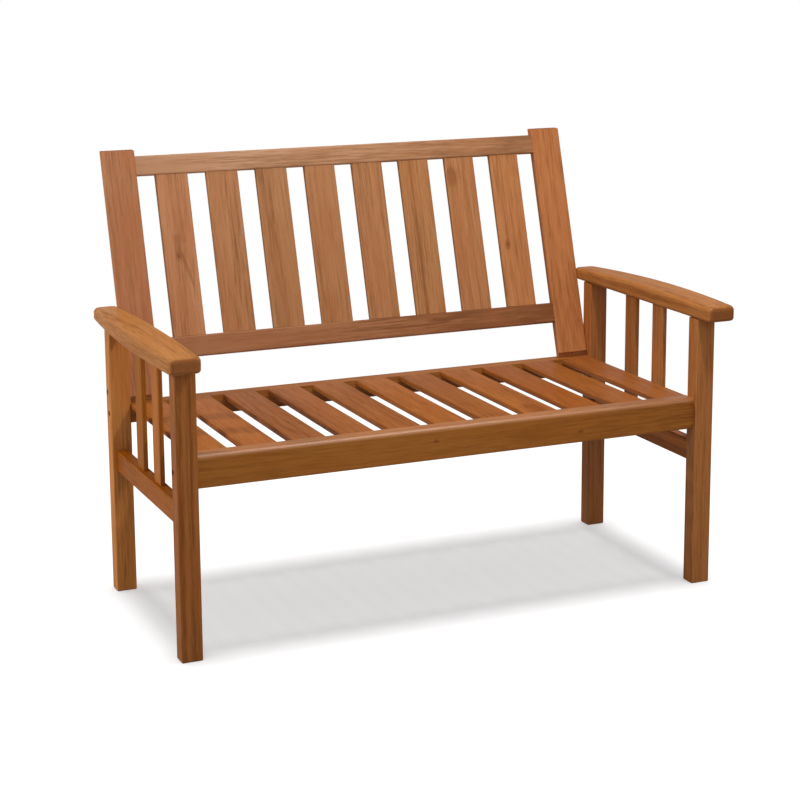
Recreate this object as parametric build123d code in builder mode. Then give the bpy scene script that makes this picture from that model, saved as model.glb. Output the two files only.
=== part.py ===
from build123d import *
import math
import os

# A slatted two-seat settle in oiled hardwood: two side frames, a reclined back and a flat seat,
# bolted together. Sizes are in millimetres. X runs along the seat, Y from front to back, Z up.
# The origin is on the floor, in the middle of the whole width and depth.

# Stance
seat_clear_width = 1120.0
leg_width = 44.0
leg_depth = 36.0
leg_pitch = 471.0
arm_underside_height = 591.0
leg_edge_radius = 3.0
foot_chamfer = 2.0

# Armrests, straight inside and bowed outside, with a crowned top
arm_front_reach = 46.0
arm_past_stile_front = 20.5
arm_front_overhang = 22.0
arm_widest_overhang = 29.5
arm_rear_overhang = 10.0
arm_widest_share = 0.40
arm_nose_thickness = 33.0
arm_crown_thickness = 37.0
arm_tail_thickness = 27.0
arm_crown_share = 0.35
arm_front_corner_radius = 14.0
arm_rear_outer_corner_radius = 18.0
arm_rear_inner_corner_radius = 12.0
arm_top_radius = 11.0
arm_bottom_radius = 7.0

# Side rails and the upright slats of the side frames
side_rail_thickness = 25.0
side_rail_height = 46.0
side_rail_underside_height = 270.0
side_rail_edge_radius = 3.0
side_slat_width = 48.0
side_slat_thickness = 10.0
side_slat_gap = 72.0
side_slat_edge_radius = 2.0

# Seat
seat_height = 417.0
seat_slat_count = 11
seat_slat_width = 74.0
seat_slat_thickness = 12.0
seat_slat_edge_radius = 3.0
front_rail_setback = 9.0
front_rail_thickness = 33.0
front_rail_height = 68.0
front_rail_top_radius = 9.0
seat_rail_edge_radius = 3.0
rear_rail_height = 42.0

# Back, measured up its own slope
back_recline_degrees = 17.0
stile_set_in = 10.0
stile_width = 73.5
stile_thickness = 20.0
stile_length = 536.0
stile_foot_clearance = 12.5
stile_heel_setback = 7.0
stile_heel_clearance = 1.0
stile_edge_radius = 3.0
stile_end_radius = 1.5
back_rail_thickness = 16.0
back_rail_setback = 2.5
back_rail_edge_radius = 4.0
top_rail_width = 44.0
top_rail_drop = 12.0
bottom_rail_width = 47.0
bottom_rail_rise = 73.5
back_slat_count = 8
back_slat_width = 74.0
back_slat_thickness = 12.0
back_slat_edge_radius = 2.5

# Mortise and tenon joints
joint_side_clearance = 0.15
joint_end_clearance = 1.0
leg_tenon_shoulder = 8.0
leg_tenon_length = 18.0
side_rail_tenon_shoulder = 6.5
side_rail_tenon_length = 20.0
side_slat_tenon_shoulder = 2.0
side_slat_tenon_edge_shoulder = 5.0
side_slat_tenon_length = 11.0
back_rail_tenon_shoulder = 4.0
back_rail_tenon_length = 28.0
back_slat_tenon_shoulder = 3.0
back_slat_tenon_edge_shoulder = 7.0
back_slat_tenon_length = 13.0
seat_slat_tenon_shoulder = 3.0
seat_slat_tenon_edge_shoulder = 7.0
seat_slat_tenon_length = 12.0

# Bolts with a hexagon socket, washers and barrel nuts
bolt_diameter = 6.0
bolt_head_diameter = 10.0
bolt_head_height = 6.0
bolt_head_bevel = 0.6
bolt_tip_bevel = 0.8
bolt_socket_across_flats = 5.0
bolt_socket_depth = 3.2
bolt_head_recess = 1.5
bolt_hole_clearance = 0.3
bolt_reach = 38.0
bolt_end_clearance = 2.0
washer_diameter = 12.0
washer_thickness = 1.2
shank_play = 0.2
counterbore_clearance = 0.3
barrel_nut_diameter = 10.0
barrel_nut_length = 10.0
barrel_nut_depth_in_rail = 30.0
barrel_nut_clearance = 0.1
barrel_nut_end_clearance = 0.5
barrel_nut_slot_width = 1.4
barrel_nut_slot_depth = 1.6
arm_bolt_grip = 45.0
arm_bolt_rise = 14.0
stile_bolt_rise = 12.0

# Places worked out from the sizes above
recline = math.radians(back_recline_degrees)
stile_level_depth = stile_thickness / math.cos(recline)
stile_tip_lost_to_rounding = stile_end_radius * ((1 + math.sin(recline)) / math.cos(recline) - 1)
leg_inner_x = seat_clear_width / 2
leg_middle_x = leg_inner_x + leg_width / 2
leg_outer_x = leg_inner_x + leg_width
stile_foot_height = seat_height + stile_foot_clearance
stile_heel_height = seat_height + stile_heel_clearance
stile_top_height = stile_foot_height + stile_length * math.cos(recline)


def stile_front_behind_front_leg(height):
    return leg_pitch + stile_set_in + (height - seat_height) * math.tan(recline)


overall_depth = (
    arm_front_reach
    + stile_front_behind_front_leg(stile_top_height)
    + stile_level_depth
    - stile_tip_lost_to_rounding
)
front_leg_front_y = arm_front_reach - overall_depth / 2
front_leg_back_y = front_leg_front_y + leg_depth
rear_leg_front_y = front_leg_front_y + leg_pitch
rear_leg_back_y = rear_leg_front_y + leg_depth
front_rail_front_y = front_leg_front_y + front_rail_setback
front_rail_back_y = front_rail_front_y + front_rail_thickness
side_rail_top_height = side_rail_underside_height + side_rail_height
side_slat_middle_y = (front_leg_back_y + rear_leg_front_y) / 2
side_slat_offset = (side_slat_gap + side_slat_width) / 2
side_slat_ys = {
    "front": side_slat_middle_y - side_slat_offset,
    "rear": side_slat_middle_y + side_slat_offset,
}
sides = {"left": -1, "right": 1}


def stile_front_y(height):
    return front_leg_front_y + stile_front_behind_front_leg(height)


arm_bolt_z = arm_underside_height + arm_bolt_rise
arm_bolt_y = stile_front_y(arm_bolt_z) + arm_past_stile_front / 2
arm_nose_y = front_leg_front_y - arm_front_reach
arm_tail_y = stile_front_y(arm_bolt_z) + arm_past_stile_front
arm_length = arm_tail_y - arm_nose_y
arm_half_span = leg_width / 2 + arm_widest_overhang

# The back's own plane: its origin is where the stiles' front face meets the level of the seat,
# its x runs along the bench, its y up the slope, and it faces the sitter.
back_plane = Plane(
    origin=(0, stile_front_y(seat_height), seat_height),
    x_dir=(1, 0, 0),
    z_dir=(0, -math.cos(recline), math.sin(recline)),
)
back_rail_plane = back_plane.offset(-back_rail_setback)
back_slat_plane = back_rail_plane.offset(-(back_rail_thickness - back_slat_thickness) / 2)
stile_top_slope = (stile_top_height - seat_height) / math.cos(recline)
top_rail_top_slope = stile_top_slope - top_rail_drop
top_rail_bottom_slope = top_rail_top_slope - top_rail_width
bottom_rail_bottom_slope = stile_foot_clearance / math.cos(recline) + bottom_rail_rise
bottom_rail_top_slope = bottom_rail_bottom_slope + bottom_rail_width
back_rail_length = seat_clear_width - 2 * stile_width
back_slat_length = top_rail_bottom_slope - bottom_rail_top_slope
back_slat_gap = (back_rail_length - back_slat_count * back_slat_width) / (back_slat_count + 1)
back_slat_xs = [
    (i - (back_slat_count - 1) / 2) * (back_slat_width + back_slat_gap)
    for i in range(back_slat_count)
]
seat_slat_gap = (seat_clear_width - seat_slat_count * seat_slat_width) / (seat_slat_count - 1)
seat_slat_xs = [
    (i - (seat_slat_count - 1) / 2) * (seat_slat_width + seat_slat_gap)
    for i in range(seat_slat_count)
]
seat_slat_length = rear_leg_front_y - front_rail_back_y
seat_slat_middle_z = seat_height - seat_slat_thickness / 2

# The bolts run along X, each at its own depth and height, with its head let into the outer face
stile_bolt_z = stile_foot_height + stile_bolt_rise
stile_bolt_y = (stile_front_y(stile_bolt_z) + rear_leg_back_y) / 2
rear_rail_bolt_y = rear_leg_front_y + leg_depth / 2
rear_rail_bolt_z = seat_height - rear_rail_height / 2
front_rail_bolt_y = front_rail_front_y + front_rail_thickness / 2
front_rail_bolt_z = seat_height - front_rail_height / 2
counterbore_diameter = washer_diameter + 2 * counterbore_clearance
counterbore_depth = washer_thickness + bolt_head_height + bolt_head_recess
bolt_hole_radius = bolt_diameter / 2 + bolt_hole_clearance
leg_bolt_grip = leg_width - counterbore_depth
nut_x = leg_inner_x - barrel_nut_depth_in_rail
downwards = (0, 0, -1)
backwards = (0, 1, 0)
away_from_sitter = (0, math.cos(recline), -math.sin(recline))
up_the_back = Axis((0, 0, 0), (0, math.sin(recline), math.cos(recline)))
arm_bolt_places = [(arm_bolt_y, arm_bolt_z)]
front_leg_bolt_places = [(front_rail_bolt_y, front_rail_bolt_z)]
rear_leg_bolt_places = [(stile_bolt_y, stile_bolt_z), (rear_rail_bolt_y, rear_rail_bolt_z)]
leg_bolt_places = front_leg_bolt_places + rear_leg_bolt_places

os.makedirs("parts", exist_ok=True)


def save(piece, name):
    piece.part.label = name
    export_step(piece.part, f"parts/{name}.step")


# Shared cuts

def bore_for_nut(x, y, z, outward, face_distance):
    """Bores a barrel nut's hole through (x, y, z) from the face that lies face_distance outward."""
    mouth = Vector(x, y, z) + Vector(*outward) * face_distance
    depth = face_distance + barrel_nut_length / 2 + barrel_nut_end_clearance
    with Locations(Plane(origin=mouth, z_dir=outward)):
        Hole(radius=barrel_nut_diameter / 2 + barrel_nut_clearance, depth=depth)


def bore_for_bolt_end(side, y, z):
    """Bores from the end face that meets a side frame, for the far end of a bolt."""
    with Locations(Plane(origin=(side * leg_inner_x, y, z), z_dir=(side, 0, 0))):
        Hole(radius=bolt_hole_radius, depth=bolt_reach + bolt_end_clearance)


# Legs

def make_leg(side, front_y, inner_face_y, bolt_places):
    middle_y = front_y + leg_depth / 2
    inward = 1 if inner_face_y > middle_y else -1
    mortise_depth = side_rail_tenon_length + joint_end_clearance
    with BuildPart() as leg:
        with BuildSketch(Plane.XY):
            with Locations((side * leg_middle_x, middle_y)):
                Rectangle(leg_width, leg_depth)
        extrude(amount=arm_underside_height)
        fillet(leg.edges().filter_by(Axis.Z), radius=leg_edge_radius)
        chamfer(leg.faces().sort_by(Axis.Z)[0].edges(), length=foot_chamfer)
        with BuildSketch(Plane.XY.offset(arm_underside_height)):
            with Locations((side * leg_middle_x, middle_y)):
                Rectangle(leg_width - 2 * leg_tenon_shoulder, leg_depth - 2 * leg_tenon_shoulder)
        extrude(amount=leg_tenon_length)
        mortise_middle = (
            side * leg_middle_x,
            inner_face_y - inward * mortise_depth / 2,
            side_rail_underside_height + side_rail_height / 2,
        )
        with Locations(mortise_middle):
            Box(
                side_rail_thickness - 2 * side_rail_tenon_shoulder + 2 * joint_side_clearance,
                mortise_depth,
                side_rail_height - 2 * side_rail_tenon_shoulder + 2 * joint_side_clearance,
                mode=Mode.SUBTRACT,
            )
        for y, z in bolt_places:
            with Locations(Plane(origin=(side * leg_outer_x, y, z), z_dir=(side, 0, 0))):
                CounterBoreHole(
                    radius=bolt_hole_radius,
                    counter_bore_radius=counterbore_diameter / 2,
                    counter_bore_depth=counterbore_depth,
                )
    return leg


# Armrests

def make_armrest(side):
    def at(overhang, y):
        return (side * (leg_outer_x + overhang), y)

    front_outer = at(arm_front_overhang, arm_nose_y)
    rear_outer = at(arm_rear_overhang, arm_tail_y)
    widest = at(arm_widest_overhang, arm_nose_y + arm_widest_share * arm_length)
    front_inner = (side * leg_inner_x, arm_nose_y)
    rear_inner = (side * leg_inner_x, arm_tail_y)
    crown = (
        arm_nose_y + arm_crown_share * arm_length,
        arm_underside_height + arm_crown_thickness,
    )
    nose_top = (arm_nose_y, arm_underside_height + arm_nose_thickness)
    tail_top = (arm_tail_y, arm_underside_height + arm_tail_thickness)
    with BuildPart() as armrest:
        with BuildSketch(Plane.XY.offset(arm_underside_height)):
            with BuildLine():
                Polyline(rear_outer, rear_inner, front_inner, front_outer)
                ThreePointArc(front_outer, widest, rear_outer)
            make_face()
        extrude(amount=arm_crown_thickness)
        with BuildSketch(Plane.YZ.offset(side * leg_middle_x)):
            with BuildLine():
                Polyline(
                    nose_top,
                    (arm_nose_y, arm_underside_height),
                    (arm_tail_y, arm_underside_height),
                    tail_top,
                )
                ThreePointArc(nose_top, crown, tail_top)
            make_face()
        extrude(amount=arm_half_span, both=True, mode=Mode.INTERSECT)
        for (x, y), radius in (
            (front_inner, arm_front_corner_radius),
            (front_outer, arm_front_corner_radius),
            (rear_inner, arm_rear_inner_corner_radius),
            (rear_outer, arm_rear_outer_corner_radius),
        ):
            upright_edges = armrest.edges().filter_by(Axis.Z)
            fillet(upright_edges.sort_by_distance((x, y, arm_underside_height))[0], radius=radius)
        fillet(armrest.faces().sort_by(Axis.Z)[-1].edges(), radius=arm_top_radius)
        fillet(armrest.faces().sort_by(Axis.Z)[0].edges(), radius=arm_bottom_radius)
        leg_mortise_depth = leg_tenon_length + joint_end_clearance
        for leg_front_y in (front_leg_front_y, rear_leg_front_y):
            with Locations(
                (
                    side * leg_middle_x,
                    leg_front_y + leg_depth / 2,
                    arm_underside_height + leg_mortise_depth / 2,
                )
            ):
                Box(
                    leg_width - 2 * leg_tenon_shoulder + 2 * joint_side_clearance,
                    leg_depth - 2 * leg_tenon_shoulder + 2 * joint_side_clearance,
                    leg_mortise_depth,
                    mode=Mode.SUBTRACT,
                )
        cut_side_slat_mortises(side, arm_underside_height, 1)
        for y, z in arm_bolt_places:
            with Locations(Plane(origin=(side * leg_inner_x, y, z), z_dir=(-side, 0, 0))):
                Hole(radius=bolt_hole_radius, depth=2 * arm_half_span)
            head_seat_x = side * (leg_inner_x + arm_bolt_grip)
            with BuildSketch(Plane(origin=(head_seat_x, y, z), z_dir=(side, 0, 0))):
                Circle(counterbore_diameter / 2)
            extrude(amount=arm_half_span, mode=Mode.SUBTRACT)
    return armrest


# Side rails and their upright slats

def cut_side_slat_mortises(side, face_z, direction):
    depth = side_slat_tenon_length + joint_end_clearance
    for middle_y in side_slat_ys.values():
        with Locations((side * leg_middle_x, middle_y, face_z + direction * depth / 2)):
            Box(
                side_slat_thickness - 2 * side_slat_tenon_shoulder + 2 * joint_side_clearance,
                side_slat_width - 2 * side_slat_tenon_edge_shoulder + 2 * joint_side_clearance,
                depth,
                mode=Mode.SUBTRACT,
            )


def make_side_rail(side):
    length = rear_leg_front_y - front_leg_back_y
    middle = (
        side * leg_middle_x,
        (front_leg_back_y + rear_leg_front_y) / 2,
        side_rail_underside_height + side_rail_height / 2,
    )
    with BuildPart() as rail:
        with Locations(middle):
            Box(side_rail_thickness, length, side_rail_height)
        fillet(rail.edges().filter_by(Axis.Y), radius=side_rail_edge_radius)
        with Locations(middle):
            Box(
                side_rail_thickness - 2 * side_rail_tenon_shoulder,
                length + 2 * side_rail_tenon_length,
                side_rail_height - 2 * side_rail_tenon_shoulder,
            )
        cut_side_slat_mortises(side, side_rail_top_height, -1)
    return rail


def make_side_slat(side, middle_y):
    length = arm_underside_height - side_rail_top_height
    middle = (side * leg_middle_x, middle_y, side_rail_top_height + length / 2)
    with BuildPart() as slat:
        with Locations(middle):
            Box(side_slat_thickness, side_slat_width, length)
        fillet(slat.edges().filter_by(Axis.Z), radius=side_slat_edge_radius)
        with Locations(middle):
            Box(
                side_slat_thickness - 2 * side_slat_tenon_shoulder,
                side_slat_width - 2 * side_slat_tenon_edge_shoulder,
                length + 2 * side_slat_tenon_length,
            )
    return slat


# Back frame. The foot of each stile is notched, and only its heel comes down to the rear seat rail.

def make_stile(side):
    foot_y = stile_front_y(stile_foot_height)
    heel_y = foot_y + stile_heel_setback
    top_y = stile_front_y(stile_top_height)
    inner_x = leg_inner_x - stile_width
    with BuildPart() as stile:
        with BuildSketch(Plane.YZ.offset(side * leg_inner_x)):
            with BuildLine():
                Polyline(
                    (foot_y, stile_foot_height),
                    (heel_y, stile_foot_height),
                    (heel_y, stile_heel_height),
                    (stile_front_y(stile_heel_height) + stile_level_depth, stile_heel_height),
                    (top_y + stile_level_depth, stile_top_height),
                    (top_y, stile_top_height),
                    close=True,
                )
            make_face()
        extrude(amount=-side * stile_width)
        fillet(stile.edges().filter_by(up_the_back), radius=stile_edge_radius)
        fillet(stile.faces().sort_by(Axis.Z)[-1].edges(), radius=stile_end_radius)
        for bottom, top in (
            (bottom_rail_bottom_slope, bottom_rail_top_slope),
            (top_rail_bottom_slope, top_rail_top_slope),
        ):
            depth = back_rail_tenon_length + joint_end_clearance
            with BuildSketch(back_rail_plane.offset(-back_rail_tenon_shoulder + joint_side_clearance)):
                with Locations((side * (inner_x + depth / 2), (bottom + top) / 2)):
                    Rectangle(
                        depth,
                        top - bottom - 2 * back_rail_tenon_shoulder + 2 * joint_side_clearance,
                    )
            extrude(
                amount=-(
                    back_rail_thickness - 2 * back_rail_tenon_shoulder + 2 * joint_side_clearance
                ),
                mode=Mode.SUBTRACT,
            )
        for y, z in ((stile_bolt_y, stile_bolt_z), (arm_bolt_y, arm_bolt_z)):
            to_rear_face = (stile_front_y(z) + stile_level_depth - y) * math.cos(recline)
            bore_for_bolt_end(side, y, z)
            bore_for_nut(side * nut_x, y, z, away_from_sitter, to_rear_face)
    return stile


def make_back_rail(bottom, top, mortised_edge, mortise_direction):
    middle = (0, (bottom + top) / 2)
    slat_mortise_depth = back_slat_tenon_length + joint_end_clearance
    with BuildPart() as rail:
        with BuildSketch(back_rail_plane):
            with Locations(middle):
                Rectangle(back_rail_length, top - bottom)
        extrude(amount=-back_rail_thickness)
        fillet(rail.edges().filter_by(Axis.X), radius=back_rail_edge_radius)
        with BuildSketch(back_rail_plane.offset(-back_rail_tenon_shoulder)):
            with Locations(middle):
                Rectangle(
                    back_rail_length + 2 * back_rail_tenon_length,
                    top - bottom - 2 * back_rail_tenon_shoulder,
                )
        extrude(amount=-(back_rail_thickness - 2 * back_rail_tenon_shoulder))
        mortise_y = mortised_edge + mortise_direction * slat_mortise_depth / 2
        with BuildSketch(back_slat_plane.offset(-back_slat_tenon_shoulder + joint_side_clearance)):
            with Locations(*[(x, mortise_y) for x in back_slat_xs]):
                Rectangle(
                    back_slat_width - 2 * back_slat_tenon_edge_shoulder + 2 * joint_side_clearance,
                    slat_mortise_depth,
                )
        extrude(
            amount=-(back_slat_thickness - 2 * back_slat_tenon_shoulder + 2 * joint_side_clearance),
            mode=Mode.SUBTRACT,
        )
    return rail


def make_back_slat(middle_x):
    middle = (middle_x, (bottom_rail_top_slope + top_rail_bottom_slope) / 2)
    with BuildPart() as slat:
        with BuildSketch(back_slat_plane):
            with Locations(middle):
                Rectangle(back_slat_width, back_slat_length)
        extrude(amount=-back_slat_thickness)
        fillet(slat.edges().filter_by(up_the_back), radius=back_slat_edge_radius)
        with BuildSketch(back_slat_plane.offset(-back_slat_tenon_shoulder)):
            with Locations(middle):
                Rectangle(
                    back_slat_width - 2 * back_slat_tenon_edge_shoulder,
                    back_slat_length + 2 * back_slat_tenon_length,
                )
        extrude(amount=-(back_slat_thickness - 2 * back_slat_tenon_shoulder))
    return slat


# Seat

def cut_seat_slat_mortises(face_y, direction):
    depth = seat_slat_tenon_length + joint_end_clearance
    for x in seat_slat_xs:
        with Locations((x, face_y + direction * depth / 2, seat_slat_middle_z)):
            Box(
                seat_slat_width - 2 * seat_slat_tenon_edge_shoulder + 2 * joint_side_clearance,
                depth,
                seat_slat_thickness - 2 * seat_slat_tenon_shoulder + 2 * joint_side_clearance,
                mode=Mode.SUBTRACT,
            )


def make_front_rail():
    with BuildPart() as rail:
        with Locations((0, front_rail_bolt_y, front_rail_bolt_z)):
            Box(seat_clear_width, front_rail_thickness, front_rail_height)
        long_edges = rail.edges().filter_by(Axis.X)
        front_edges = long_edges.sort_by(Axis.Y)[:2].sort_by(Axis.Z)
        back_edges = long_edges.sort_by(Axis.Y)[2:].sort_by(Axis.Z)
        fillet(front_edges[1], radius=front_rail_top_radius)
        fillet([front_edges[0], back_edges[0]], radius=seat_rail_edge_radius)
        cut_seat_slat_mortises(front_rail_back_y, -1)
        for side in sides.values():
            bore_for_bolt_end(side, front_rail_bolt_y, front_rail_bolt_z)
            bore_for_nut(
                side * nut_x,
                front_rail_bolt_y,
                front_rail_bolt_z,
                backwards,
                front_rail_thickness / 2,
            )
    return rail


def make_rear_rail():
    with BuildPart() as rail:
        with Locations((0, rear_rail_bolt_y, rear_rail_bolt_z)):
            Box(seat_clear_width, leg_depth, rear_rail_height)
        long_edges = rail.edges().filter_by(Axis.X)
        top_front = long_edges.sort_by(Axis.Y)[:2].sort_by(Axis.Z)[1]
        fillet(long_edges - [top_front], radius=seat_rail_edge_radius)
        cut_seat_slat_mortises(rear_leg_front_y, 1)
        for side in sides.values():
            bore_for_bolt_end(side, rear_rail_bolt_y, rear_rail_bolt_z)
            bore_for_nut(
                side * nut_x,
                rear_rail_bolt_y,
                rear_rail_bolt_z,
                downwards,
                rear_rail_height / 2,
            )
    return rail


def make_seat_slat(middle_x):
    middle = (middle_x, front_rail_back_y + seat_slat_length / 2, seat_slat_middle_z)
    with BuildPart() as slat:
        with Locations(middle):
            Box(seat_slat_width, seat_slat_length, seat_slat_thickness)
        fillet(slat.edges().filter_by(Axis.Y), radius=seat_slat_edge_radius)
        with Locations(middle):
            Box(
                seat_slat_width - 2 * seat_slat_tenon_edge_shoulder,
                seat_slat_length + 2 * seat_slat_tenon_length,
                seat_slat_thickness - 2 * seat_slat_tenon_shoulder,
            )
    return slat


# Fasteners. Every head is let in from the outside of a side frame.

def make_bolts(places, grip):
    """Bolts at the given (y, z) on both sides, through grip of wood and into the rail or stile."""
    with BuildPart() as bolt:
        with BuildSketch(Plane.XY):
            Circle(bolt_head_diameter / 2)
        extrude(amount=bolt_head_height)
        chamfer(bolt.faces().sort_by(Axis.Z)[-1].edges(), length=bolt_head_bevel)
        with BuildSketch(Plane.XY.offset(bolt_head_height)):
            RegularPolygon(radius=bolt_socket_across_flats / 2, side_count=6, major_radius=False)
        extrude(amount=-bolt_socket_depth, mode=Mode.SUBTRACT)
        with BuildSketch(Plane.XY):
            Circle(bolt_diameter / 2)
        extrude(amount=-(washer_thickness + grip + bolt_reach))
        chamfer(bolt.faces().sort_by(Axis.Z)[0].edges(), length=bolt_tip_bevel)
    head_x = leg_inner_x + grip + washer_thickness
    head_seats = [
        Plane(origin=(side * head_x, y, z), z_dir=(side, 0, 0))
        for side in sides.values()
        for y, z in places
    ]
    with BuildPart() as bolts:
        with Locations(*head_seats):
            add(bolt.part)
    return bolts


def make_washers():
    with BuildPart() as washers:
        for side in sides.values():
            for grip, places in ((arm_bolt_grip, arm_bolt_places), (leg_bolt_grip, leg_bolt_places)):
                for y, z in places:
                    seat_x = side * (leg_inner_x + grip)
                    with BuildSketch(Plane(origin=(seat_x, y, z), z_dir=(side, 0, 0))):
                        Circle(washer_diameter / 2)
                        Circle(bolt_diameter / 2 + shank_play, mode=Mode.SUBTRACT)
                    extrude(amount=washer_thickness)
    return washers


def make_barrel_nuts():
    nut_places = [
        (arm_bolt_y, arm_bolt_z, away_from_sitter),
        (stile_bolt_y, stile_bolt_z, away_from_sitter),
        (rear_rail_bolt_y, rear_rail_bolt_z, downwards),
        (front_rail_bolt_y, front_rail_bolt_z, backwards),
    ]
    with BuildPart() as nuts:
        for side in sides.values():
            x = side * nut_x
            for y, z, outward in nut_places:
                middle = Plane(origin=(x, y, z), x_dir=(1, 0, 0), z_dir=outward)
                with BuildSketch(middle):
                    Circle(barrel_nut_diameter / 2)
                extrude(amount=barrel_nut_length / 2, both=True)
                with BuildSketch(middle.offset(barrel_nut_length / 2)):
                    Rectangle(barrel_nut_diameter, barrel_nut_slot_width)
                extrude(amount=-barrel_nut_slot_depth, mode=Mode.SUBTRACT)
                with Locations(Plane(origin=(x, y, z), z_dir=(1, 0, 0))):
                    Cylinder(
                        radius=bolt_diameter / 2 + shank_play,
                        height=barrel_nut_diameter,
                        mode=Mode.SUBTRACT,
                    )
    return nuts


for side_name, side in sides.items():
    front_leg = make_leg(side, front_leg_front_y, front_leg_back_y, front_leg_bolt_places)
    save(front_leg, f"front_leg_{side_name}")
    rear_leg = make_leg(side, rear_leg_front_y, rear_leg_front_y, rear_leg_bolt_places)
    save(rear_leg, f"rear_leg_{side_name}")
    save(make_armrest(side), f"armrest_{side_name}")
    save(make_side_rail(side), f"side_rail_{side_name}")
    for slat_name, slat_y in side_slat_ys.items():
        save(make_side_slat(side, slat_y), f"side_slat_{slat_name}_{side_name}")
    save(make_stile(side), f"back_stile_{side_name}")

save(
    make_back_rail(top_rail_bottom_slope, top_rail_top_slope, top_rail_bottom_slope, 1),
    "back_top_rail",
)
save(
    make_back_rail(bottom_rail_bottom_slope, bottom_rail_top_slope, bottom_rail_top_slope, -1),
    "back_bottom_rail",
)
for number, slat_x in enumerate(back_slat_xs, start=1):
    save(make_back_slat(slat_x), f"back_slat_{number}")

save(make_front_rail(), "seat_front_rail")
save(make_rear_rail(), "seat_rear_rail")
for number, slat_x in enumerate(seat_slat_xs, start=1):
    save(make_seat_slat(slat_x), f"seat_slat_{number:02d}")

save(make_bolts(arm_bolt_places, arm_bolt_grip), "arm_bolts")
save(make_bolts(leg_bolt_places, leg_bolt_grip), "leg_bolts")
save(make_washers(), "bolt_washers")
save(make_barrel_nuts(), "barrel_nuts")

print("overall width", 2 * (leg_outer_x + arm_widest_overhang), "depth", overall_depth)
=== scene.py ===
import math
import random

import bpy
from mathutils import Euler, Matrix, Vector


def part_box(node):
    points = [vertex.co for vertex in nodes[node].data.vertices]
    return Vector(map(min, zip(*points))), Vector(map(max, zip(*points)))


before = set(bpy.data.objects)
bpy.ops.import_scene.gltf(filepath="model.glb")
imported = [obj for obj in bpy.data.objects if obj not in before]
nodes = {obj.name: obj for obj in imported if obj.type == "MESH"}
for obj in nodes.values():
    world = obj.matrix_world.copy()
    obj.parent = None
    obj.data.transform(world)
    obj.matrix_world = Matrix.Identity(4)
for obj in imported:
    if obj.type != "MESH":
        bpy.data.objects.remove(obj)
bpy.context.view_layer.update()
print("frame loaded,", len(nodes), "pieces")

# Directions on the settle. The back leans by its recline, everything else is square.
recline = math.radians(17)
across = Vector((1, 0, 0))
inward = Vector((0, 1, 0))
upright = Vector((0, 0, 1))
upTheBack = Vector((0, math.sin(recline), math.cos(recline)))


def paint(red, green, blue):  # a colour as a screen shows it, 0 to 255, in linear light
    shares = [value / 255 for value in (red, green, blue)]
    linear = [((s + 0.055) / 1.055) ** 2.4 if s > 0.04 else s / 12.92 for s in shares]
    return (*linear, 1.0)


def grey(shade):
    return (shade, shade, shade, 1.0)


class Wire:  # a socket that takes + - * /, so that shader maths reads as plain sums
    def __init__(self, tree, socket=None):
        self.tree = tree
        self.socket = socket

    def node(self, kind, sockets=None, out=0, stops=(), **settings):
        made = self.tree.nodes.new("ShaderNode" + kind)
        for key, value in settings.items():
            setattr(made, key, value)
        if stops:
            ramp = made.color_ramp.elements
            while len(ramp) < len(stops):
                ramp.new(0.5)
            for stop, (place, colour) in zip(ramp, stops):
                stop.position = place
                stop.color = colour
        for key, value in (sockets or {}).items():
            if isinstance(value, Wire):
                self.tree.links.new(value.socket, made.inputs[key])
            else:
                made.inputs[key].default_value = value
        return Wire(self.tree, made.outputs[out] if len(made.outputs) else None)

    def maths(self, operation, first, second=0.0):
        return self.node("Math", {0: first, 1: second}, operation=operation)

    def __add__(self, other):
        return self.maths("ADD", self, other)

    __radd__ = __add__

    def __sub__(self, other):
        return self.maths("SUBTRACT", self, other)

    def __rsub__(self, other):
        return self.maths("SUBTRACT", other, self)

    def __mul__(self, other):
        return self.maths("MULTIPLY", self, other)

    __rmul__ = __mul__

    def __truediv__(self, other):
        return self.maths("DIVIDE", self, other)

    def __rtruediv__(self, other):
        return self.maths("DIVIDE", other, self)

    def root(self):
        return self.maths("SQRT", self)

    def size(self):
        return self.maths("ABSOLUTE", self)

    def fraction(self):
        return self.maths("FRACT", self)

    def most(self, other):
        return self.maths("MAXIMUM", self, other)

    def fade(self, start, end, low=0.0, high=1.0):  # eases from low at start to high at end
        sockets = {"Value": self, "From Min": start, "From Max": end, "To Min": low, "To Max": high}
        return self.node("MapRange", sockets, interpolation_type="SMOOTHSTEP")

    def tinted(self, share, colour):
        return self.node("Mix", {0: share, 6: self, 7: colour}, out=2, data_type="RGBA")

    def parts(self):  # the three parts of a vector
        split = self.node("SeparateXYZ", {0: self}).socket.node.outputs
        return [Wire(self.tree, socket) for socket in split]


def newTree(name):
    material = bpy.data.materials.new(name)
    material.use_nodes = True
    material.node_tree.nodes.clear()
    return material, Wire(material.node_tree)


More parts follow.
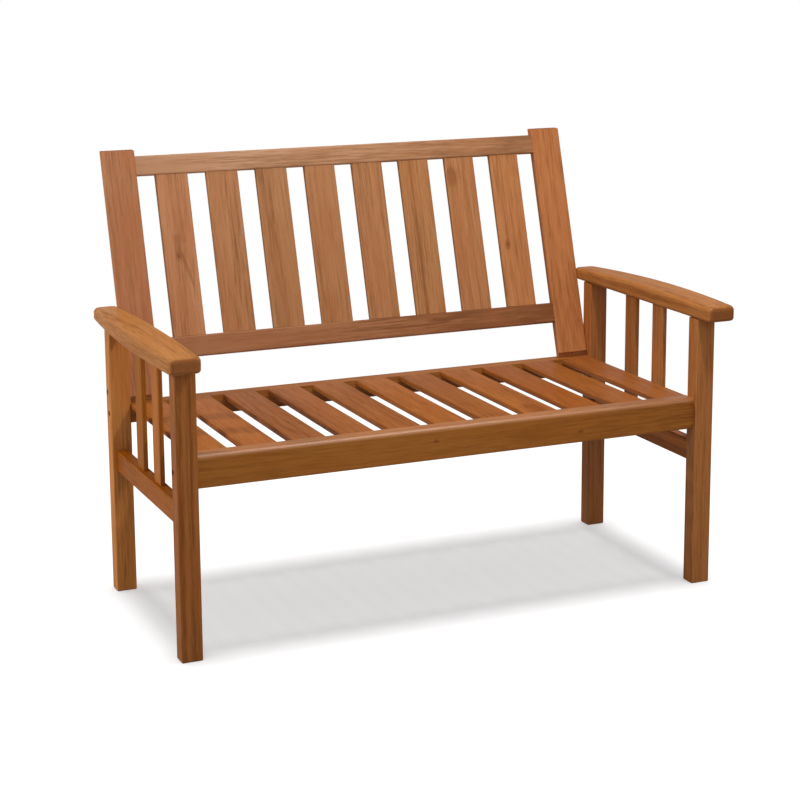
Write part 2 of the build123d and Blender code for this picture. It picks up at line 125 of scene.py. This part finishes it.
# What every board has in common: a reddish hardwood with a thin film of oil. A board's own look
# overrides these. Lengths are in metres.
timber = {
    # how each kind of wood departs from the board's tone
    "paleShift": (1.14, 1.19, 1.28),
    "deepShift": (0.60, 0.52, 0.44),
    "redShift": (1.02, 0.87, 0.78),
    "endShift": (0.60, 0.49, 0.46),
    "poreShift": (0.42, 0.34, 0.28),
    "knotShift": (0.38, 0.28, 0.22),
    # depths at which the wood is pale, has the board's tone and is dark
    "paleStop": 0.05,
    "toneStop": 0.42,
    "deepStop": 0.95,
    # growth rings: each darkens slowly and clears fast
    "ringWidth": 0.0075,
    "ringDarkens": (0.0, 0.8),
    "ringClears": (0.86, 1.0),
    "pithDistance": (0.05, 0.14),
    "pithTilt": 0.05,
    "wander": 0.016,
    # broad bands and narrow lines between the rings
    "bands": {"along": 1.1, "perRing": 0.33, "seed": 3.0, "detail": 1.0},
    "lines": {"along": 3.0, "perRing": 1.9, "seed": 31.0, "detail": 2.0},
    "bandRoughness": 0.55,
    # other figures: scale along, across and through the board, and the fade that shows them. Each
    # board looks at its own place in the noise, and each figure a seed's steps further on.
    "ownPlace": (-40, 40),
    "seedStep": 13.7,
    "warp": {"seed": 1, "scale": (1.1, 9.0, 9.0), "detail": 1.5},
    "fibres": {
        "seed": 2,
        "scale": (17.0, 300.0, 300.0),
        "detail": 3.0,
        "roughness": 0.65,
        "fade": (0.32, 0.68),
    },
    "hairs": {"seed": 3, "scale": (32.0, 1100.0, 1100.0), "detail": 1.0, "fade": (0.62, 0.72)},
    "poreAreas": {"seed": 4, "scale": (5.0, 60.0, 60.0), "fade": (0.35, 0.65)},
    "mottle": {"seed": 5, "scale": (6.0, 16.0, 16.0), "fade": (0.35, 0.75)},
    "ringAreas": {"seed": 6, "scale": (1.7, 22.0, 22.0), "fade": (0.35, 0.65, 0.25, 1.0)},
    "endSpeckle": {"seed": 7, "scale": (90.0, 260.0, 260.0), "fade": (0.35, 0.7, 0.8, 1.0)},
    "strokeBreaks": {"seed": 8, "scale": (4.0, 90.0, 90.0), "fade": (0.25, 0.6, 0.55, 1.0)},
    "streaks": {"seed": 9, "scale": (3.6, 120.0, 120.0), "fade": (0.34, 0.66)},
    # how much each figure deepens the wood, and how much the board deepens along each metre
    "bandDepth": 0.825,
    "lineDepth": 0.42,
    "ringDepth": 0.16,
    "streakDepth": 0.32,
    "fibreDepth": 0.50,
    "poreDepth": 0.42,
    "mottleDepth": 0.5,
    "drift": 0.0,
    # strokes are single streaks, dark where depth is above 0: v sets one across the board, u and
    # half its middle and half its length, and lean turns it
    "strokes": [],
    "strokeWander": 0.010,
    "strokeEnd": 0.6,
    "strokeCore": 0.15,
    # knots lie at u and v, and are longer than they are wide
    "knots": [],
    "knotPush": 0.9,
    "knotSpread": 0.2,
    "haloFade": (9.0, 0.5),
    "haloLines": (0.3, 0.6, 0.6, 1.3),
    # end grain, by how squarely a face looks along the board
    "endFade": (0.55, 0.85),
    # surface and film of oil
    "fibreRelief": 0.3,
    "poreRelief": 0.8,
    "ringRelief": 0.12,
    "reliefStrength": 0.20,
    "reliefHeight": 0.0004,
    "roughness": 0.5,
    "fibreRoughness": 0.08,
    "poreRoughness": 0.18,
    "endRoughness": 0.16,
    "specular": 0.02,
    "film": 0.03,
    "filmIndex": 2.8,
    "filmRoughness": 0.32,
    "wornEdge": None,  # a thicker film across the board, from one v to another
}


def shifted(tone, shift):
    return (*[t * s for t, s in zip(tone, shift)], 1.0)


def boardMaterial(name, axes, look):
    look = {**timber, **look}
    tone = look["tone"]
    dice = random.Random("settle " + name)
    low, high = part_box(name)
    middle = (low + high) / 2
    turn = Matrix(axes)
    shift = [dice.uniform(*look["ownPlace"]) for _ in range(3)]
    material, start = newTree("oiled wood " + name)

    # u runs along the grain, v across the board's face and w through it, from the board's middle
    place = start.node("TexCoord", out="Object")
    sockets = {"Vector": place, "Location": -(turn @ middle), "Rotation": turn.to_euler()}
    place = place.node("Mapping", sockets)
    u, v, w = place.parts()

    def noise(figure, extraSeed=0.0, out=0):
        moved = [s + look["seedStep"] * (figure["seed"] + extraSeed) for s in shift]
        sockets = {0: place, 1: figure["scale"], 2: moved}
        spot = place.node("VectorMath", sockets, operation="MULTIPLY_ADD")
        detail, roughness = figure.get("detail", 2.0), figure.get("roughness", 0.5)
        sockets = {"Vector": spot, "Scale": 1.0, "Detail": detail, "Roughness": roughness}
        return place.node("TexNoise", sockets, out=out)

    def shown(key, extraSeed=0.0):
        return noise(look[key], extraSeed).fade(*look[key]["fade"])

    # the grain runs round each knot
    knotCore = None
    knotHalo = None
    aside = v
    for knot in look["knots"]:
        du = (u - knot["u"]) / (knot["size"] * knot["long"])
        dv = (v - knot["v"]) / knot["size"]
        reach = du * du + dv * dv
        swell = 1 / (1 + reach * reach * look["knotSpread"])
        aside = aside - swell * dv * (knot["size"] * look["knotPush"])
        core = reach.fade(knot["core"], 0.0)
        halo = reach.fade(*look["haloFade"], 0.0, knot["halo"])
        knotCore = core if knotCore is None else knotCore.most(core)
        knotHalo = halo if knotHalo is None else knotHalo.most(halo)

    # growth rings round a pith that lies outside the board and wanders along it
    warpV, warpW = [part - 0.5 for part in noise(look["warp"], out=1).parts()[:2]]
    angle = dice.uniform(0, 2 * math.pi)
    distance = dice.uniform(*look["pithDistance"])
    tilts = [dice.uniform(-1, 1) * look["pithTilt"] for _ in range(2)]
    fromPithV = aside + warpV * look["wander"] + u * tilts[0] - distance * math.cos(angle)
    fromPithW = w + warpW * look["wander"] + u * tilts[1] - distance * math.sin(angle)
    radius = (fromPithV * fromPithV + fromPithW * fromPithW).root()
    ringCount = radius / look["ringWidth"]
    ring = ringCount.fraction()
    ring = ring.fade(*look["ringDarkens"]) - ring.fade(*look["ringClears"])

    def alongRings(figure):  # noise that is long along the grain and follows the rings
        along = u * figure["along"] + shift[0] + figure["seed"]
        spot = place.node("CombineXYZ", {0: along, 1: ringCount * figure["perRing"], 2: shift[1]})
        sockets = {"Vector": spot, "Scale": 1.0, "Detail": figure["detail"]}
        return place.node("TexNoise", {**sockets, "Roughness": look["bandRoughness"]})

    bands = alongRings(look["bands"])
    lines = alongRings(look["lines"])
    streaks = shown("streaks")
    fibres = shown("fibres")
    pores = shown("hairs") * shown("poreAreas")
    deep = look["toneStop"] + (bands - 0.5) * look["bandDepth"] + (lines - 0.5) * look["lineDepth"]
    deep = deep + (ring - 0.5) * shown("ringAreas") * look["ringDepth"]
    deep = deep + (streaks - 0.5) * look["streakDepth"] + (fibres - 0.5) * look["fibreDepth"]
    deep = deep + u * look["drift"]

    # single dark or pale streaks, each along its own line on the board
    for stroke in look["strokes"]:
        line = v + warpV * look["strokeWander"] + u * stroke.get("lean", 0.0)
        width, half = stroke["width"], stroke["half"]
        onLine = (line - stroke["v"]).size().fade(width, width * look["strokeCore"])
        inReach = (u - stroke["u"]).size().fade(half, half * look["strokeEnd"])
        broken = shown("strokeBreaks", stroke["v"] * 100)
        deep = deep + onLine * inReach * broken * stroke["depth"]
    if knotHalo is not None:
        deep = deep + knotHalo * lines.fade(*look["haloLines"])

    pale, dark = shifted(tone, look["paleShift"]), shifted(tone, look["deepShift"])
    stops = [(look["paleStop"], pale), (look["toneStop"], tone), (look["deepStop"], dark)]
    colour = deep.node("ValToRGB", {0: deep}, stops=stops)
    colour = colour.tinted(shown("mottle") * look["mottleDepth"], shifted(tone, look["redShift"]))
    colour = colour.tinted(pores * look["poreDepth"], shifted(tone, look["poreShift"]))

    # end grain soaks up more oil and dries darker
    facing = place.node("TexCoord", out="Normal")
    sockets = {0: facing, 1: turn[0]}
    facing = facing.node("VectorMath", sockets, out="Value", operation="DOT_PRODUCT")
    endGrain = facing.size().fade(*look["endFade"])
    colour = colour.tinted(endGrain * shown("endSpeckle"), shifted(tone, look["endShift"]))
    if knotCore is not None:
        colour = colour.tinted(knotCore, shifted(tone, look["knotShift"]))

    height = fibres * look["fibreRelief"] - pores * look["poreRelief"] + ring * look["ringRelief"]
    strength, distance = look["reliefStrength"], look["reliefHeight"]
    sockets = {"Height": height, "Strength": strength, "Distance": distance}
    bump = height.node("Bump", sockets)
    roughness = look["roughness"] + (fibres - 0.5) * look["fibreRoughness"]
    roughness = roughness + pores * look["poreRoughness"] + endGrain * look["endRoughness"]
    film = look["film"]
    if look["wornEdge"]:
        film = v.fade(*look["wornEdge"]["v"]) * look["wornEdge"]["film"] + film
    sockets = {
        "Base Color": colour,
        "Roughness": roughness,
        "Normal": bump,
        "Coat Weight": film,
        "Coat Roughness": look["filmRoughness"],
        "Coat IOR": look["filmIndex"],
        "Specular IOR Level": look["specular"],
    }
    shader = colour.node("BsdfPrincipled", sockets)
    shader.node("OutputMaterial", {"Surface": shader})
    return material


def dress(name, material):  # a CAD piece keeps its shape and gets its own finish
    slots = nodes[name].material_slots
    if len(slots) == 0:
        nodes[name].data.materials.append(material)
    for slot in slots:
        slot.material = material


# Axes of a board: along its grain, across its face and through it
alongUpright = (upright, across, inward)
alongDepth = (inward, across, -upright)
alongSideRail = (inward, upright, across)
alongSideSlat = (upright, inward, -across)
alongSeatRail = (across, upright, -inward)
alongBackSlope = (upTheBack, across, upTheBack.cross(across))
alongBackRail = (across, upTheBack, across.cross(upTheBack))

# Side frames: legs, armrests, and the rails and upright slats between them
sideFrame = {
    "axes": {
        "front_leg": alongUpright,
        "rear_leg": alongUpright,
        "side_rail": alongSideRail,
        "side_slat_front": alongSideSlat,
        "side_slat_rear": alongSideSlat,
        "armrest": alongDepth,
    },
    "tones": {
        "front_leg_left": paint(156, 94, 43),
        "front_leg_right": paint(167, 105, 55),
        # painted light: the rear left leg's tone is paler than the other legs' to lift the shade that
        # it stands in
        "rear_leg_left": paint(200, 130, 66),
        "rear_leg_right": paint(160, 99, 52),
        "side_rail_left": paint(153, 85, 18),
        "side_rail_right": paint(165, 95, 39),
        "side_slat_front_left": paint(174, 103, 39),
        "side_slat_front_right": paint(170, 111, 60),
        "side_slat_rear_left": paint(161, 96, 28),
        "side_slat_rear_right": paint(158, 101, 53),
        "armrest_left": paint(175, 115, 61),
        "armrest_right": paint(164, 105, 54),
    },
    "extras": {
        "front_leg_left": {
            "bandDepth": 0.75,
            "strokes": [
                {"v": 0.0075, "width": 0.0035, "u": 0.10, "half": 0.20, "depth": 0.40},
                {"v": -0.0165, "width": 0.007, "u": 0.05, "half": 0.6, "depth": 0.3},
                {"v": -0.005, "width": 0.006, "u": 0.05, "half": 0.6, "depth": -0.25},
            ],
        },
        "armrest_left": {"ringWidth": 0.006, "bandDepth": 0.9},
        "armrest_right": {
            "ringWidth": 0.006,
            "strokes": [{"v": -0.022, "width": 0.004, "u": -0.17, "half": 0.16, "depth": 0.55}],
        },
    },
}
for name, tone in sideFrame["tones"].items():
    part = name.rsplit("_", 1)[0]
    look = {"tone": tone, **sideFrame["extras"].get(name, {})}
    dress(name, boardMaterial(name, sideFrame["axes"][part], look))
print("side frames finished")

# Back: two stiles, two rails and eight slats
back = {
    "tones": {
        "back_stile_left": paint(177, 118, 79),
        "back_stile_right": paint(177, 111, 64),
        "back_top_rail": paint(176, 128, 91),
        "back_bottom_rail": paint(154, 102, 66),
        "back_slat_1": paint(182, 124, 83),
        "back_slat_2": paint(173, 118, 76),
        "back_slat_3": paint(168, 117, 75),
        "back_slat_4": paint(168, 114, 72),
        "back_slat_5": paint(170, 116, 74),
        "back_slat_6": paint(171, 117, 73),
        "back_slat_7": paint(174, 118, 75),
        "back_slat_8": paint(179, 118, 71),
    },
    "extras": {
        "back_stile_left": {"bandDepth": 0.75, "mottleDepth": 0.8},
        "back_top_rail": {"paleShift": (1.25, 1.38, 1.6), "drift": 1.1},
        "back_bottom_rail": {
            "paleShift": (1.22, 1.27, 1.38),
            "drift": 1.3,
            "strokes": [
                {"v": 0.004, "width": 0.012, "u": 0.40, "half": 0.12, "depth": 0.45, "lean": 0.1},
                {"v": -0.012, "width": 0.010, "u": 0.25, "half": 0.10, "depth": 0.35, "lean": -0.1},
            ],
        },
        "back_slat_1": {
            "knots": [
                {"u": -0.004, "v": -0.005, "size": 0.0028, "long": 1.7, "core": 0.9, "halo": 0.25},
            ],
            "strokes": [
                {"v": -0.003, "width": 0.011, "u": 0.02, "half": 0.03, "depth": 0.42, "lean": 0.1},
                {"v": 0.004, "width": 0.006, "u": -0.035, "half": 0.045, "depth": 0.45, "lean": 0.26},
                {"v": 0.012, "width": 0.016, "u": 0.05, "half": 0.03, "depth": 0.25},
                {"v": -0.026, "width": 0.013, "u": 0.08, "half": 0.2, "depth": -0.30},
            ],
        },
        "back_slat_2": {
            "strokes": [
                {"v": 0.012, "width": 0.005, "u": 0.0, "half": 0.3, "depth": 0.25, "lean": -0.01},
                {"v": -0.003, "width": 0.005, "u": 0.05, "half": 0.2, "depth": -0.25, "lean": -0.02},
                {"v": -0.022, "width": 0.008, "u": 0.10, "half": 0.15, "depth": -0.25},
            ],
        },
        "back_slat_3": {
            "strokes": [
                {"v": -0.016, "width": 0.011, "u": 0.08, "half": 0.14, "depth": 0.30, "lean": 0.06},
                {"v": -0.006, "width": 0.006, "u": -0.08, "half": 0.14, "depth": 0.4, "lean": 0.04},
                {"v": 0.012, "width": 0.013, "u": -0.02, "half": 0.25, "depth": -0.30},
            ],
        },
        "back_slat_6": {
            "strokes": [
                {"v": -0.010, "width": 0.005, "u": 0.0, "half": 0.3, "depth": 0.40},
                {"v": 0.014, "width": 0.005, "u": -0.05, "half": 0.25, "depth": -0.35},
            ],
        },
        "back_slat_7": {
            "mottleDepth": 0.7,
            "knots": [
                {"u": 0.137, "v": -0.022, "size": 0.008, "long": 1.3, "core": 0.0, "halo": 0.30},
            ],
        },
        "back_slat_8": {
            "knots": [
                {"u": -0.0333, "v": -0.0171, "size": 0.0036, "long": 1.4, "core": 0.8, "halo": 0.45},
            ],
        },
    },
}
for name, tone in back["tones"].items():
    axes = alongBackRail if name.endswith("rail") else alongBackSlope
    look = {"tone": tone, **back["extras"].get(name, {})}
    dress(name, boardMaterial(name, axes, look))
print("back finished")

# Seat: front and rear rails and eleven slats
seat = {
    "tones": {
        "seat_front_rail": paint(155, 95, 37),
        "seat_rear_rail": paint(157, 95, 42),
        "seat_slat_01": paint(161, 96, 42),
        "seat_slat_02": paint(164, 99, 48),
        "seat_slat_03": paint(162, 98, 51),
        "seat_slat_04": paint(151, 89, 44),
        "seat_slat_05": paint(152, 91, 42),
        "seat_slat_06": paint(159, 93, 37),
        "seat_slat_07": paint(146, 85, 35),
        "seat_slat_08": paint(159, 93, 37),
        "seat_slat_09": paint(149, 83, 30),
        "seat_slat_10": paint(150, 87, 37),
        "seat_slat_11": paint(150, 86, 39),
    },
    "extras": {
        "seat_front_rail": {
            "drift": 0.35,
            "wornEdge": {"v": (0.022, 0.032), "film": 0.3},  # the rounded top edge, worn smooth
            "filmRoughness": 0.5,
            "knots": [
                {"u": -0.0494, "v": 0.0056, "size": 0.0022, "long": 1.5, "core": 0.9, "halo": 0.4},
                {"u": 0.2843, "v": -0.0103, "size": 0.0022, "long": 1.5, "core": 0.9, "halo": 0.4},
            ],
        },
        "seat_slat_08": {
            "knots": [
                {"u": -0.183, "v": -0.003, "size": 0.010, "long": 1.8, "core": 0.0, "halo": 0.35},
            ],
        },
    },
    "slatBandDepth": 0.6,
}
for name, tone in seat["tones"].items():
    look = {"tone": tone, **seat["extras"].get(name, {})}
    if name.endswith("rail"):
        dress(name, boardMaterial(name, alongSeatRail, look))
    else:
        look = {"bandDepth": seat["slatBandDepth"], **look}
        dress(name, boardMaterial(name, alongDepth, look))
print("seat finished")

# Bolts, washers and barrel nuts in dark plated steel, worn pale in places
steel = {
    "nodes": ["arm_bolts", "leg_bolts", "bolt_washers", "barrel_nuts"],
    "tint": paint(74, 70, 66),
    "wornTint": paint(128, 122, 114),
    "cloudScale": 260.0,
    "cloudFade": (0.5, 0.72),
    "scratchScale": (300.0, 2600.0, 2600.0),
    "scratchFade": (0.4, 0.7),
    "scratchStrength": 0.2,
    "scratchHeight": 0.0001,
    "roughness": 0.34,
    "grime": 0.22,
}


def steelMaterial(name, look):
    material, start = newTree("plated steel " + name)
    place = start.node("TexCoord", out="Object")
    clouds = place.node("TexNoise", {"Vector": place, "Scale": look["cloudScale"], "Detail": 3.0})
    spot = place.node("VectorMath", {0: place, 1: look["scratchScale"]}, operation="MULTIPLY")
    scratches = place.node("TexNoise", {"Vector": spot, "Scale": 1.0, "Detail": 2.0})
    worn = clouds.fade(*look["cloudFade"]) * scratches.fade(*look["scratchFade"])
    sockets = {0: worn, 6: look["tint"], 7: look["wornTint"]}
    colour = worn.node("Mix", sockets, out=2, data_type="RGBA")
    roughness = look["roughness"] + (clouds - 0.5) * look["grime"]
    strength, distance = look["scratchStrength"], look["scratchHeight"]
    sockets = {"Height": scratches, "Strength": strength, "Distance": distance}
    bump = scratches.node("Bump", sockets)
    sockets = {"Base Color": colour, "Roughness": roughness, "Normal": bump, "Metallic": 1.0}
    shader = colour.node("BsdfPrincipled", sockets)
    shader.node("OutputMaterial", {"Surface": shader})
    return material


for name in steel["nodes"]:
    dress(name, steelMaterial(name, steel))
print("fasteners finished")

# Pale studio: floor, world and lamps
studio = {
    "floorSize": 60.0,
    "floorTint": 0.25,  # how pale the floor is to the light that it sends back up
    "floorShade": 0.53,  # how pale the camera sees it, which shows the shadow, over a glow
    "floorGlow": 0.40,
    "shadowFade": (1.1, 2.2),  # how far from the middle it turns plain white
    "skyLight": 0.41,
    "aim": (0.0, 0.0, 0.45),
    "lamps": [
        {"name": "key lamp", "place": (0.34, -0.80, 1.95), "size": 0.14, "power": 13.7},
        {"name": "left lamp", "place": (-3.59, 0.51, 2.56), "size": 0.3, "power": 66.2},
        {"name": "top panel", "place": (0.0, -0.38, 4.23), "size": 2.6, "power": 11.4},
        {"name": "left panel", "place": (-3.6, -1.0, 1.85), "size": 1.6, "power": 4.0},
        {"name": "front panel", "place": (-0.44, -4.2, 2.0), "size": 1.6, "power": 20},
    ],
    "overheadStrength": 3.1416,  # makes a white floor just white
    "overheadSoftness": 17.65,  # degrees, at which the seat slats' own shadows melt into one
    "overhanging": [*back["tones"], "armrest_left", "armrest_right"],
}


def seenDirectly(start):  # camera, glossy and transmission rays see the white studio itself
    rays = start.node("LightPath").socket.node.outputs
    kinds = ("Is Camera Ray", "Is Glossy Ray", "Is Transmission Ray")
    camera, glossy, through = [Wire(start.tree, rays[kind]) for kind in kinds]
    return camera.most(glossy).most(through)


bpy.ops.object.select_all(action="DESELECT")
bpy.ops.mesh.primitive_plane_add(size=studio["floorSize"], location=(0, 0, 0))
floor = bpy.context.object
floor.name = "studio_floor"
floorMaterial, start = newTree("studio floor")
spot = start.node("TexCoord", out="Object")
away = spot.node("VectorMath", {0: spot}, out="Value", operation="LENGTH")
plain = start.node("BsdfDiffuse", {"Color": grey(studio["floorTint"])})
shaded = start.node("BsdfDiffuse", {"Color": grey(studio["floorShade"])})
lifted = start.node("Emission", {"Color": grey(1.0), "Strength": studio["floorGlow"]})
near = start.node("AddShader", {0: shaded, 1: lifted})
far = start.node("Emission", {"Color": grey(1.0), "Strength": 1.0})
seen = start.node("MixShader", {0: away.fade(*studio["shadowFade"]), 1: near, 2: far})
surface = start.node("MixShader", {0: seenDirectly(start), 1: plain, 2: seen})
surface.node("OutputMaterial", {"Surface": surface})
floor.data.materials.append(floorMaterial)

world = bpy.data.worlds.new("studio")
bpy.context.scene.world = world
world.use_nodes = True
world.node_tree.nodes.clear()
start = Wire(world.node_tree)
strength = seenDirectly(start) * (1.0 - studio["skyLight"]) + studio["skyLight"]
sky = start.node("Background", {"Color": grey(1.0), "Strength": strength})
sky.node("OutputWorld", {"Surface": sky})


def lightGroup(name, members, state):
    group = bpy.data.collections.new(name)
    for member in members:
        group.objects.link(member)
    for linked in group.collection_objects:
        linked.light_linking.link_state = state
    return group


def addLamp(name, kind, receivers, settings):
    data = bpy.data.lights.new(name, kind)
    for key, value in settings.items():
        setattr(data, key, value)
    lamp = bpy.data.objects.new(name, data)
    lamp.light_linking.receiver_collection = receivers
    bpy.context.scene.collection.objects.link(lamp)
    return lamp


# The overhead lamp lights the floor alone, for a shadow straight below the seat, and the others
# leave the floor out. The back and the armrests reach past the legs and cast no overhead shadow,
# as in the photo.
floorAlone = lightGroup("lit by the overhead lamp", [floor], "INCLUDE")
allElse = lightGroup("left out by the other lamps", [floor], "EXCLUDE")
overhanging = [nodes[name] for name in studio["overhanging"]]
noShadow = lightGroup("casts no overhead shadow", overhanging, "EXCLUDE")
for row in studio["lamps"]:
    settings = {"shape": "SQUARE", "size": row["size"], "energy": row["power"]}
    lamp = addLamp(row["name"], "AREA", allElse, settings)
    lamp.location = row["place"]
    toAim = Vector(studio["aim"]) - Vector(row["place"])
    lamp.rotation_euler = toAim.to_track_quat("-Z", "Y").to_euler()
softness = math.radians(studio["overheadSoftness"])
settings = {"energy": studio["overheadStrength"], "angle": softness}
lamp = addLamp("overhead lamp", "SUN", floorAlone, settings)
lamp.light_linking.blocker_collection = noShadow
print("studio lit")

# Camera at the photo's viewpoint, with angles in degrees
viewpoint = {
    "place": (-1.6678, -3.8608, 1.4286),
    "yaw": 23.367,
    "pitch": 11.376,
    "roll": 0.362,
    "lens": 89.06,
    "sensor": 36.0,
    "shift": -0.10,
}
data = bpy.data.cameras.new("camera")
data.lens = viewpoint["lens"]
data.sensor_width = viewpoint["sensor"]
data.shift_y = viewpoint["shift"]
camera = bpy.data.objects.new("camera", data)
bpy.context.scene.collection.objects.link(camera)
yaw, pitch, roll = [math.radians(viewpoint[key]) for key in ("yaw", "pitch", "roll")]
facing = Euler((math.radians(90) - pitch, 0, -yaw)).to_matrix().to_4x4()
leaning = Matrix.Rotation(-roll, 4, "Z")
camera.matrix_world = Matrix.Translation(viewpoint["place"]) @ facing @ leaning
bpy.context.scene.camera = camera
bpy.context.scene.view_settings.view_transform = "Standard"
